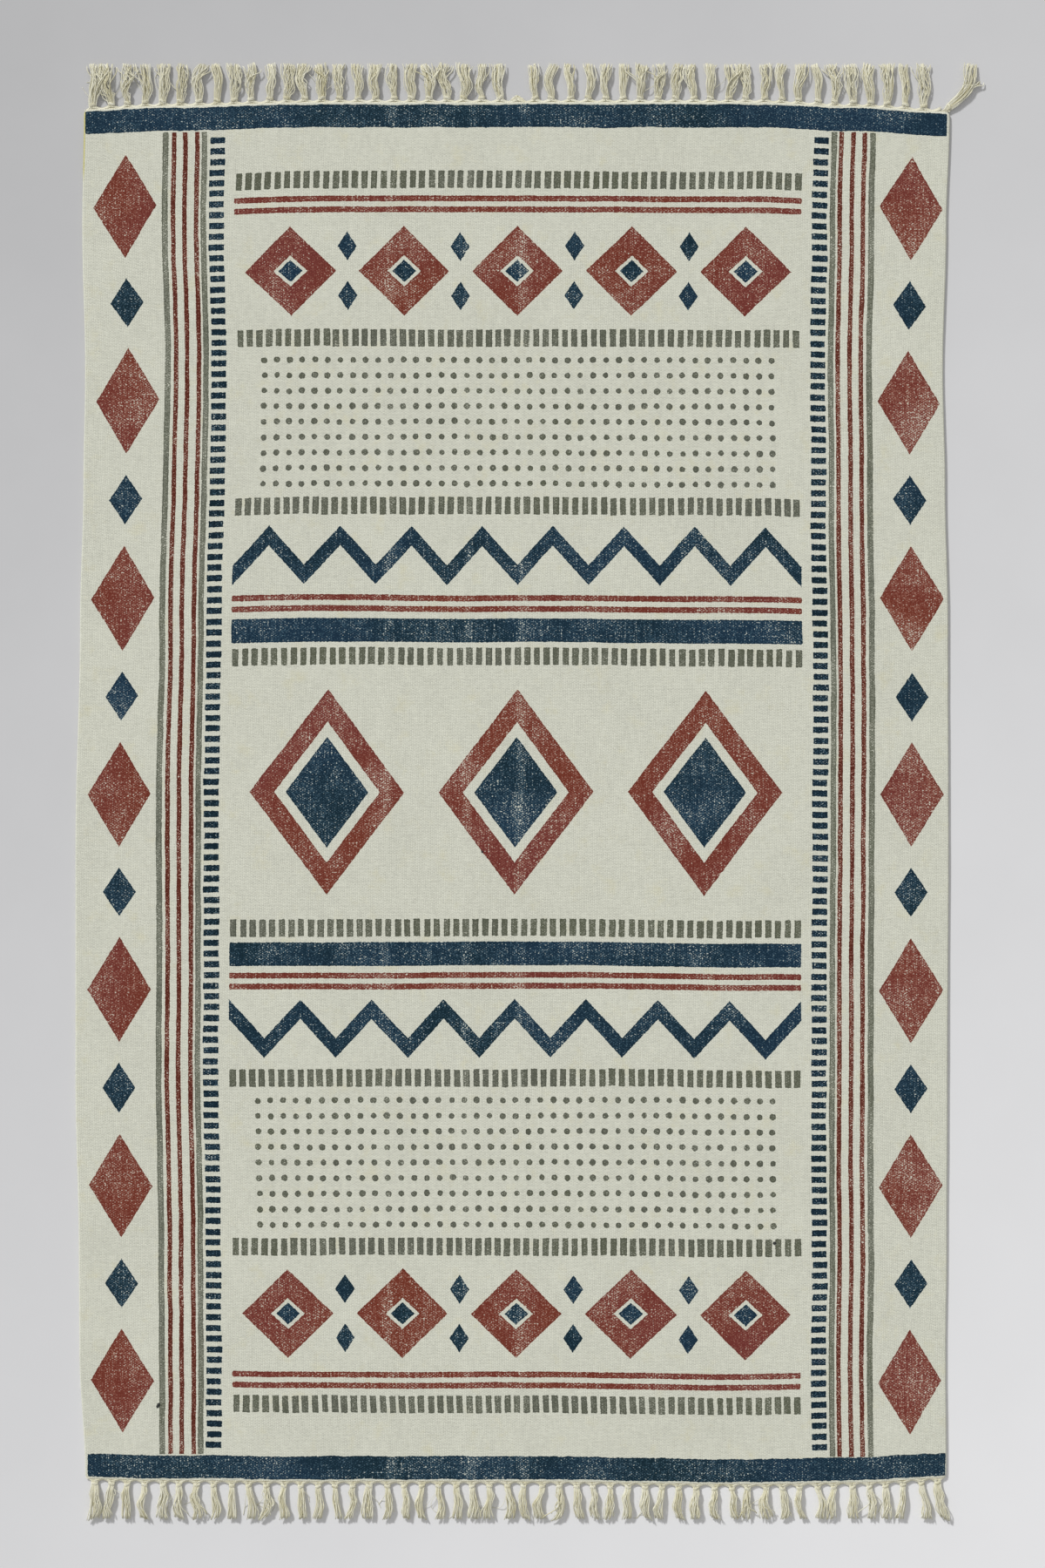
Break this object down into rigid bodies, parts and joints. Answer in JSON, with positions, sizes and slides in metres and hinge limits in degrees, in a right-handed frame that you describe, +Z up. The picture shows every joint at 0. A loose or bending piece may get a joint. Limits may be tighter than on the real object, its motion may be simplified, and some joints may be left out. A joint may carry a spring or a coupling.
{
  "type": "dhurrie rug",
  "caption": "Flat-woven cotton dhurrie rug with a block-printed geometric pattern and knotted fringe at both ends, lying flat.",
  "frame": {"origin": "middle of the cloth's underside, on the floor", "axes": "+Y along the warp to the far end of the rug, +X across to the right-hand selvedge, +Z up from the floor through the printed face"},
  "size_m": [1.5764, 2.549, 0.005],
  "materials": {
    "printed_cloth": "matt ivory flat-woven cotton with block print in indigo, brick red and grey",
    "fringe_yarn": "matt undyed cotton warp yarn"
  },
  "bodies": {
    "root": {"rug_cloth": "printed_cloth", "fringe_near": "fringe_yarn", "fringe_far": "fringe_yarn"}
  },
  "joints": []
}
